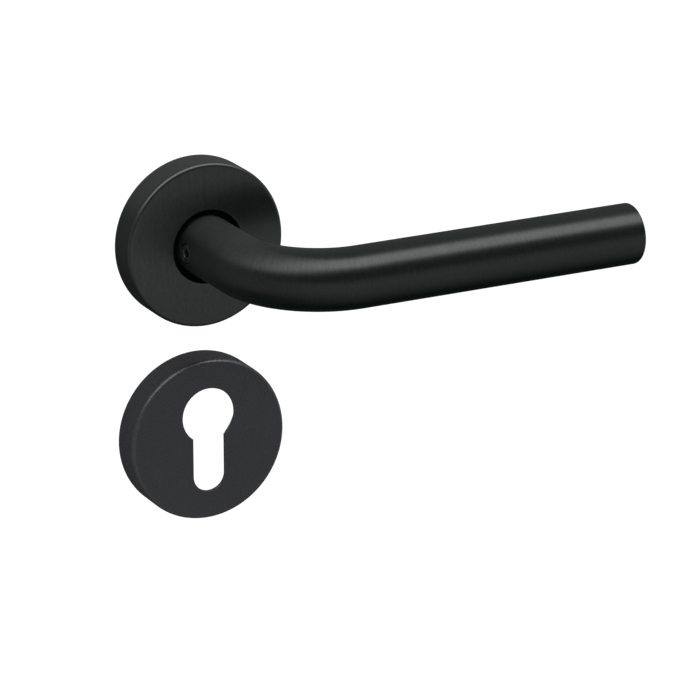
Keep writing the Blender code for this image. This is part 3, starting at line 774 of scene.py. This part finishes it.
def build_grub():
    """M6 set screw with a 3 mm hexagon socket; the thread is a helix. Turned along Y, then laid along -X."""
    crest, depth, pitch = 2.9, 0.12, 1.0
    start, end = 4.9, 8.9

    def wave(radius, out, angle):
        if radius != crest or not start < out < end:
            return 0
        phase = (out / pitch - angle / math.tau) % 1
        return -depth * abs(2 * phase - 1)

    thread = [(crest, start + 0.1 * step) for step in range(41)]
    tip = [(0, 4.3), (2.2, 4.3), (2.5, 4.5)]
    screw = lathe(tip + thread + [(2.72, 9.12), (2.55, 9.2), (0, 9.2)], 64, wave)
    hexagon = circle(0, 0, 1.5 / math.cos(math.radians(30)), 6)
    screw = cut(screw, slab([hexagon], 6.7, 9.8, 0, 0))
    mouth = lathe([(0, 8.9), (1.45, 8.9), (2.05, 9.5), (0, 9.5)], 64)
    return lie_along_x(cut(screw, mouth), -1, 0, 0)


piece("grub_screw", build_grub(), ROSE + Vector((0, -GRUB_OUT * MM, 0)))

SPINDLE = 4.0  # half its side
SPINDLE_CHAMFER = ((0.6, 0), (0.08, 0.52), (0, 0.8))  # (inset, distance from the end)
SPINDLE_NOTCH = [(0, -4.5), (0.3, -4.8), (0, -5.1)]  # (inset, out)


def build_spindle():
    front, rear = ((DOOR_Y - corner.y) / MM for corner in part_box("spindle"))
    levels = [(inset, front - distance) for inset, distance in SPINDLE_CHAMFER] + SPINDLE_NOTCH
    levels += [(inset, rear + distance) for inset, distance in reversed(SPINDLE_CHAMFER)]
    return stacked([square(SPINDLE, 0.35)], levels)


piece("spindle", build_spindle(), ROSE)


def build_driver():
    """A ring with an arm whose tab, bent back to the door, stands between the spring's legs."""
    ring = slab([circle(0, 0, 15.4, 128), clipped_square(*DRIVER_HOLE)], 7.4, 8.5)
    ring = join(ring, slab([box_outline(13.6, 16.6, -2.0, 2.0, 0.3)], 7.41, 8.49))
    return join(ring, slab([box_outline(14.61, 16.59, -1.99, 1.99, 0.3)], 2.5, 8.0, 0.3, 0.1))


piece("driver_ring", build_driver(), ROSE, phosphate_and_painted_shade())

washer = lathe(rounded([(7.8, -1.1, 0.1), (11.5, -1.1, 0.15), (11.5, -0.3, 0.15), (7.8, -0.3, 0.1)]), 128)
piece("thrust_washer", washer, ROSE)


def build_retaining_ring():
    """A snap ring that is open at the bottom, with a pierced ear at each end."""
    ear, outer, inner, ear_middle, ear_hole = 11.2, 9.6, 7.05, 9.2, 0.8
    outline = arc(0, 0, ear, -66, -44, 8) + arc(0, 0, outer, -38, 218, 80)
    outline += arc(0, 0, ear, 224, 246, 8) + arc(0, 0, inner, 246, -66, 90)
    holes = []
    for angle in (-55, 235):
        turn = math.radians(angle)
        holes.append(circle(ear_middle * math.cos(turn), ear_middle * math.sin(turn), ear_hole, 24))
    return slab([outline] + holes, -2.4, -1.4, 0.1, 0.1)


piece("retaining_ring", build_retaining_ring(), ROSE)


# Covers: shells 1 mm thick, whose rims stand just off the door
COVER = 26.0  # radius
COVER_EDGE = 1.5
COVER_INSIDE = COVER_HEIGHT - 1
COVER_LIFT = 0.3
COVER_RIM = [(COVER - 1, COVER_INSIDE, 0.3), (COVER - 1, COVER_LIFT, 0.15), (COVER, COVER_LIFT, 0.4)]
NECK_HOLE = 11.5  # radius
CROWN_STEP = 1.25


def crowned(radius, height):
    """A point of the rose cover's domed face, which is height high where its edge starts to round off."""
    rim = COVER - COVER_EDGE
    return radius, height + CROWN * (rim**2 - radius**2) / (rim**2 - NECK_HOLE**2)


def rose_outline():
    radii = [NECK_HOLE + CROWN_STEP * step for step in range(1, 11)]
    inside = [crowned(radius, COVER_INSIDE) for radius in radii]
    outside = [crowned(radius, COVER_HEIGHT) for radius in reversed(radii[:-1])]
    hole = [(*crowned(NECK_HOLE, COVER_HEIGHT), 0.35), (*crowned(NECK_HOLE, COVER_INSIDE), 0.1)]
    edge = [(*crowned(COVER, COVER_HEIGHT), COVER_EDGE)]
    return rounded(hole + inside + COVER_RIM + edge + outside, 8)


piece("rose_cover", lathe(rose_outline(), 256), ROSE, rose_coating())

# The escutcheon's cut-out, from the middle of the cover
PLUG_RADIUS = 8.8
PLUG_UP = 8.0
SLOT = 5.3  # half its width
FOOT = -16.8


def cylinder_outline(grow):
    """The profile-cylinder outline, grown all round."""
    head, slot = PLUG_RADIUS + grow, SLOT + grow
    meeting = math.degrees(math.asin(slot / head))
    outline = arc(0, PLUG_UP, head, meeting - 90, 270 - meeting, 80)
    return outline + arc(0, FOOT + SLOT, slot, 180, 360, 36)


def build_escutcheon_cover():
    """A closed shell whose front is the flat between its rounded edge and the cut-out's rounded edge."""
    bm = bmesh.new()

    def ring(places, out):
        return [bm.verts.new((x * MM, -out * MM, z * MM)) for x, z in places]

    middle_of_front = [(0, COVER_HEIGHT), (0, COVER_INSIDE)]
    outline = rounded(COVER_RIM + [(COVER, COVER_HEIGHT, COVER_EDGE)] + middle_of_front, 8)[:-2]
    rings = [ring(circle(0, 0, radius, 256), out) for radius, out in outline]
    levels = edge_levels(COVER_INSIDE, COVER_HEIGHT, 0.15, 0.35, 5)
    hole = [ring(cylinder_outline(grow), out) for grow, out in levels]
    for wall in (rings, hole):
        for one, two in zip(wall, wall[1:]):
            bridge(bm, one, two)
    for outer, inner in ((rings[-1], hole[0]), (rings[0], hole[-1])):
        rim = [bm.edges.get(pair) for pair in zip(outer, outer[1:] + outer[:1])]
        rim += [bm.edges.get(pair) for pair in zip(inner, inner[1:] + inner[:1])]
        bmesh.ops.triangle_fill(bm, use_beauty=True, use_dissolve=False, edges=rim)
    return bm


piece("escutcheon_cover", build_escutcheon_cover(), ESCUTCHEON)


# Base plates, clip rings, lugs and screws
PLATE = 23.0  # radius
PLATE_THICKNESS = 1.8
LUG_HOLE = 3.2  # radius


def lug_holes(middle_of_plate, lugs):
    places = [on_door(lug) - middle_of_plate for lug in lugs]
    return [circle(place.x / MM, place.z / MM, LUG_HOLE, 48) for place in places]


def window_outline():
    """The escutcheon plate's opening: a round head above a rounded rectangle."""
    half, head, head_up, corner, corner_up = 10.6, 14.3, 7.2, 6.0, -15.0
    meeting = math.degrees(math.asin(half / head))
    outline = arc(0, head_up, head, meeting - 90, 270 - meeting, 72)
    outline += arc(corner - half, corner_up, corner, 180, 270, 16)
    return outline + arc(half - corner, corner_up, corner, 270, 360, 16)


def build_rose_plate():
    """A disc with the return spring's stop, relieved at the back round the thrust washer."""
    holes = lug_holes(ROSE, ("rose_lug_lower", "rose_lug_upper"))
    plate = slab([circle(0, 0, PLATE, 192), circle(0, 0, 9.9, 128)] + holes, 0, PLATE_THICKNESS)
    stop = slab([box_outline(17.4, 19.4, -2.0, 2.0, 0.4)], 0.9, 7.1, 0, 0.4)
    relief = lathe([(0, -1), (12.4, -1), (12.4, 0.2), (0, 0.2)], 128)
    return cut(join(plate, stop), relief)


def build_escutcheon_plate():
    holes = lug_holes(ESCUTCHEON, ("escutcheon_lug_left", "escutcheon_lug_right"))
    return slab([circle(0, 0, PLATE, 192), window_outline()] + holes, 0, PLATE_THICKNESS)


def build_clip_ring():
    """A ring round the plate with a bead for the cover, and four slots that let it give."""
    foot, outer, bead, inner = 23.3, 24.2, 24.7, 22.8
    outline = [(foot, 0.3, 0.1), (outer, 0.3, 0.2), (outer, 3.4), (bead, 4.0, 0.2), (bead, 4.6, 0.2)]
    outline += [(outer, 5.2), (outer, 7.0, 0.3), (inner, 7.0, 0.2), (inner, 2.1, 0.1), (foot, 2.1)]
    ring = lathe(rounded(outline), 192)
    for number in range(4):
        slot = slab([box_outline(20.5, 26.0, -3.0, 3.0)], 3.6, 8.0, 0.4, 0)
        turn = Matrix.Rotation(math.radians(45 + 90 * number), 3, "Y")
        bmesh.ops.rotate(slot, verts=slot.verts, cent=(0, 0, 0), matrix=turn)
        ring = cut(ring, slot)
    return ring


def build_lug():
    """A round boss at the back of the plate, with a neck riveted through it."""
    bore, boss, neck, rear = 2.3, 4.0, 2.9, -4.5
    outline = [(bore, rear, 0.2), (boss, rear, 0.4), (boss, -0.3, 0.1), (neck, -0.3)]
    outline += [(neck, PLATE_THICKNESS, 0.15), (bore, PLATE_THICKNESS, 0.15)]
    return lathe(rounded(outline), 64)


def build_screw():
    """M4 pan head with a cross recess; the thread is a helix that fades out at both ends."""
    crest, depth, pitch, fading = 1.95, 0.38, 0.7, 0.5
    start, end = -7.6, 1.4
    steps = 90

    def wave(radius, out, angle):
        if radius != crest or not start < out < end:
            return 0
        phase = (out / pitch - angle / math.tau) % 1
        fade = min((out - start) / fading, (end - out) / fading, 1)
        return -depth * abs(2 * phase - 1) * fade

    shank = [(crest, start + (end - start) * step / steps) for step in range(steps + 1)]
    head = rounded([(3.25, 2.1, 0.15), (3.25, 4.3, 1.1), (0, 4.3)], 8)
    screw = lathe([(0, -8.0), (1.35, -8.0)] + shank + [(crest, 2.1)] + head, 48, wave)
    return cut(screw, tapered(cross_outline(), 0.55, 2.6, 4.6))


def cross_outline():
    """The mouth of a cross recess: one arm, turned to the right, up, left and down."""
    wide, narrow = 1.75, 0.42
    arm = [(wide, -narrow, 0.1), (wide, narrow, 0.1), (narrow, narrow, 0.15)]
    outline = []
    for _ in range(4):
        outline += arm
        arm = [(-z, x, radius) for x, z, radius in arm]
    return rounded(outline, 3)


piece("rose_base_plate", build_rose_plate(), ROSE)
piece("rose_clip_ring", build_clip_ring(), ROSE)
piece("escutcheon_base_plate", build_escutcheon_plate(), ESCUTCHEON)
piece("escutcheon_clip_ring", build_clip_ring(), ESCUTCHEON)
for fixing in ("rose_{}_upper", "rose_{}_lower", "escutcheon_{}_left", "escutcheon_{}_right"):
    lug, screw = fixing.format("lug"), fixing.format("screw")
    piece(lug, build_lug(), on_door(lug))
    piece(screw, build_screw(), on_door(screw))


def build_bush():
    """A sleeve through the plate, with a flange just in front of it."""
    bore, sleeve, flange, front = 7.8, 9.6, 11.2, 7.1
    outline = [(bore, 0, 0.2), (sleeve, 0, 0.2), (sleeve, 2.1), (flange, 2.1, 0.15)]
    outline += [(flange, 3.0, 0.2), (sleeve, 3.0, 0.1), (sleeve, front, 0.3), (bore, front, 0.3)]
    return lathe(rounded(outline), 128)


piece("bearing_bush", build_bush(), ROSE)

# Return spring: a leg, two turns round the bush, and a second leg, swept as round wire
WIRE = 0.8  # radius
WIRE_EDGE = 0.15  # chamfer at its two ends
COIL = 12.6  # radius of the wire's axis
COIL_START = 2.9
COIL_END = 6.3


def spring_path():
    """The wire's axis: the first leg is above the tab and near the door, the last below it in front."""
    leg_z, leg_bend, leg_end, leg_step = 3.1, 2.0, 20.2, 0.5
    reach = COIL + leg_bend
    bend_z = leg_z + leg_bend
    bend_x = math.sqrt(reach**2 - bend_z**2)
    leaving = math.degrees(math.atan2(bend_z, bend_x))
    bend = arc(bend_x, bend_z, leg_bend, 270, 180 + leaving, 12)
    first = [(leg_end - leg_step * step, leg_z) for step in range(8)] + bend
    path = [Vector((x, -COIL_START, z)) for x, z in first]
    turned = 720 - 2 * leaving
    steps = 180
    for step in range(1, steps):
        angle = math.radians(leaving + turned * step / steps)
        out = COIL_START + (COIL_END - COIL_START) * step / steps
        path.append(Vector((COIL * math.cos(angle), -out, COIL * math.sin(angle))))
    return path + [Vector((x, -COIL_END, -z)) for x, z in reversed(first)]


def build_spring():
    """The wire's skin; each end is flat with a small chamfer."""
    path = spring_path()
    stations = []
    distance = 0.0
    side = Vector((0, 1, 0))
    for number, place in enumerate(path):
        before = path[max(number - 1, 0)]
        after = path[min(number + 1, len(path) - 1)]
        along = (after - before).normalized()
        side = (side - along * side.dot(along)).normalized()
        distance += (place - before).length
        stations.append((place, side, along.cross(side), WIRE, distance))

    def end(place, following, station):
        inwards = (following - place).normalized() * WIRE_EDGE
        _, side, up, _, distance = station
        flat = [(place, side, up, radius, distance) for radius in (0, WIRE - WIRE_EDGE)]
        return flat + [(place + inwards, side, up, WIRE, distance)]

    start = end(path[0], path[1], stations[0])
    close = end(path[-1], path[-2], stations[-1])
    return sweep(start + stations[1:-1] + close[::-1], 24, closed=False)


spring = piece("return_spring", build_spring(), ROSE, ride=False)
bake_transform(spring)


# ---------------------------------------------------------------- stage, light and camera


FLOOR_HALF = 8.0
FLOOR_BELOW = 0.22  # under the lowest piece


def build_floor():
    bm = bmesh.new()
    bmesh.ops.create_grid(bm, x_segments=1, y_segments=1, size=FLOOR_HALF)
    floor = to_object(bm, "floor")
    floor.location = (0, 0, CAD_BOX[0].z - FLOOR_BELOW)
    look = Look("pale_floor")
    tone = look.noise(look.place, 3.0, 2.0, 0.5)
    look.set(
        Base_Color=look.colours(look.range(tone, 0, 1), (0.93, 0.93, 0.93), (0.95, 0.95, 0.95)),
        Roughness=0.9,
        Specular_IOR_Level=0.0,
        Emission_Color=(1, 1, 1),
        Emission_Strength=0.2,
    )
    floor.data.materials.append(look.material)
    floor.visible_glossy = False


# Brightness of the studio seen in reflections, by the angle round the X axis: 0 is the horizon in front,
# 90 straight up, 180 the horizon behind the door, -90 straight down
REFLECTED = [
    (-180, 0.13), (-160, 0.07), (-120, 0.04), (-98, 0.01), (-80, 0.12), (-62, 0.33),
    (-47, 0.52), (-30, 0.68), (-18, 0.78), (-6, 0.76), (2, 0.62), (10, 0.36), (16, 0.22),
    (34, 0.22), (46, 0.5), (53, 2.2), (58, 4.7), (84, 4.7), (91, 2.4), (97, 0.6), (108, 0.5),
    (120, 0.52), (137, 0.46), (150, 0.34), (165, 0.28), (180, 0.13),
]
REFLECTED_PEAK = 5.0  # the brightness that the colour ramp's white stands for
REFLECTED_SIDES = 0.45  # to the far left and right, low down
REFLECTED_HIGH_SIDES = 1.7
BEHIND = 0.9  # behind the door, all of it is dimmed to this share
SEEN = 1.3  # times the background node's own grey of 0.8, so the camera sees plain white
FILL_LOW, FILL_HIGH = 0.75, 1.25  # what diffuse rays meet straight down and straight up


def build_world():
    """A white studio: one pattern of soft boxes for the reflections, an even fill for the rest."""
    world = bpy.data.worlds.new("studio")
    bpy.context.scene.world = world
    world.use_nodes = True
    world.cycles.sampling_method = "NONE"
    tree = world.node_tree
    nodes, links = tree.nodes, tree.links
    nodes.clear()

    def add(kind, inputs=None, **settings):
        node = nodes.new(kind)
        for key, value in settings.items():
            setattr(node, key, value)
        for key, value in (inputs or {}).items():
            if isinstance(value, bpy.types.NodeSocket):
                links.new(value, node.inputs[key])
            else:
                node.inputs[key].default_value = value
        return node

    def maths(operation, one, two=0.0):
        return add("ShaderNodeMath", {0: one, 1: two}, operation=operation).outputs[0]

    def ranged(value, from_low, from_high, low, high, easing="SMOOTHSTEP"):
        inputs = {"Value": value, "From Min": from_low, "From Max": from_high}
        inputs.update({"To Min": low, "To Max": high})
        return add("ShaderNodeMapRange", inputs, interpolation_type=easing).outputs[0]

    def lit(strength):
        return add("ShaderNodeBackground", {"Strength": strength}).outputs[0]

    def chosen(share, one, two):
        return add("ShaderNodeMixShader", {0: share, 1: one, 2: two}).outputs[0]

    direction = add("ShaderNodeTexCoord").outputs["Generated"]
    split = add("ShaderNodeSeparateXYZ", {0: direction}).outputs
    angle = maths("ARCTAN2", split[2], maths("MULTIPLY", split[1], -1.0))
    turn = maths("ADD", maths("DIVIDE", angle, math.tau), 0.5)
    ramp = add("ShaderNodeValToRGB", {0: turn})
    elements = ramp.color_ramp.elements
    for number, (degrees, brightness) in enumerate(REFLECTED):
        if number == 0:
            element = elements[0]
        elif number == len(REFLECTED) - 1:
            element = elements[len(elements) - 1]
        else:
            element = elements.new(degrees / 360 + 0.5)
        level = brightness / REFLECTED_PEAK
        element.color = (level, level, level, 1)
    peak = ranged(split[1], 0.0, 0.5, REFLECTED_PEAK, BEHIND * REFLECTED_PEAK)
    level = maths("MULTIPLY", ramp.outputs[0], peak)
    sideways = ranged(maths("ABSOLUTE", split[0]), 0.62, 0.9, 0.0, 1.0)
    beside = ranged(split[2], 0.3, 0.7, REFLECTED_SIDES, REFLECTED_HIGH_SIDES)
    level = maths("ADD", level, maths("MULTIPLY", sideways, maths("SUBTRACT", beside, level)))
    fill = ranged(split[2], -1.0, 1.0, FILL_LOW, FILL_HIGH, "LINEAR")
    rays = add("ShaderNodeLightPath").outputs
    unseen = chosen(rays["Is Glossy Ray"], lit(fill), lit(level))
    add("ShaderNodeOutputWorld", {"Surface": chosen(rays["Is Camera Ray"], unseen, lit(SEEN))})


AZIMUTH = math.radians(27.744)
ELEVATION = math.radians(18.876)
LENS = 201.2
# From the rose's middle, in the camera's own directions: to the right, down and back
CAMERA_PLACE = Vector((0.0487, -0.0349, 1.2))


def build_camera():
    """A long lens from the front left, slightly above, aimed below the grip and right of both discs."""
    data = bpy.data.cameras.new("camera")
    data.lens = LENS
    data.sensor_width = 36.0
    camera = bpy.data.objects.new("camera", data)
    bpy.context.scene.collection.objects.link(camera)
    camera.rotation_euler = (math.pi / 2 - ELEVATION, 0, -AZIMUTH)
    camera.location = ROSE + camera.rotation_euler.to_matrix() @ CAMERA_PLACE
    bpy.context.scene.camera = camera


build_floor()
build_world()
build_camera()
bpy.context.scene.view_settings.view_transform = "Standard"
